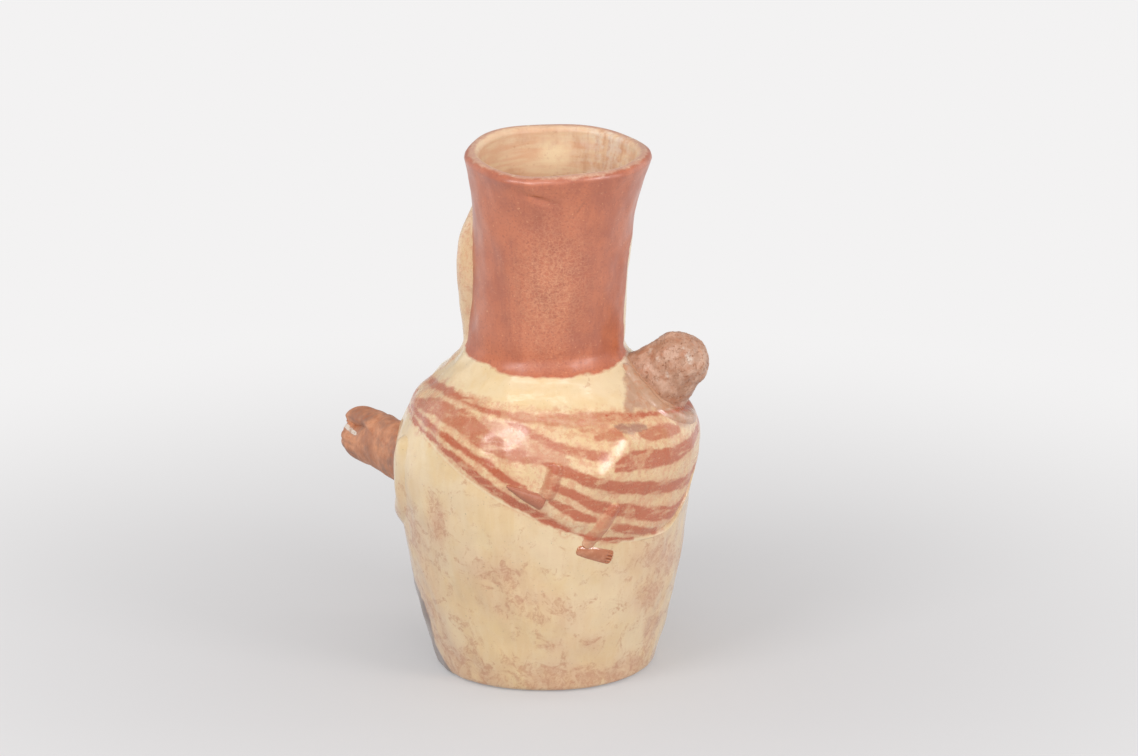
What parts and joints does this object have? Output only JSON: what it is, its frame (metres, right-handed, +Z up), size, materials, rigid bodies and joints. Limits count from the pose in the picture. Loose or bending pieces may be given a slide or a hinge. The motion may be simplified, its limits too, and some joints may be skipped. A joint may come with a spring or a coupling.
{
  "type": "figural vessel",
  "caption": "Fired clay jar shaped as a standing figure with arms held out, a child slung on the back in a striped shawl, and a tall flaring neck for pouring.",
  "frame": {"origin": "middle of the flat foot that the jar stands on", "axes": "+Z up; the figure faces -Y and its left side is +X"},
  "size_m": [0.1176, 0.1362, 0.203],
  "materials": {
    "cream_slip": "burnished cream slip with rust blotches",
    "red_slip": "burnished red slip",
    "shawl_slip": "burnished cream slip with painted red stripes",
    "skin_slip": "terracotta slip, worn",
    "bare_clay": "rough bare brown clay"
  },
  "bodies": {
    "root": {"base_disc": "cream_slip", "body_front": "cream_slip", "body_back": "cream_slip", "neck_tube": "red_slip", "neck_collar": "cream_slip", "rim_coil": "red_slip", "face": "skin_slip", "headcloth": "cream_slip", "left_upper_arm": "cream_slip", "right_upper_arm": "cream_slip", "left_forearm": "skin_slip", "right_forearm": "skin_slip", "left_thumb": "skin_slip", "right_thumb": "skin_slip", "shawl": "shawl_slip", "child_head": "bare_clay", "hood_roll": "bare_clay", "child_left_leg": "skin_slip", "child_right_leg": "skin_slip", "child_left_foot": "skin_slip", "child_right_foot": "skin_slip"}
  },
  "joints": []
}
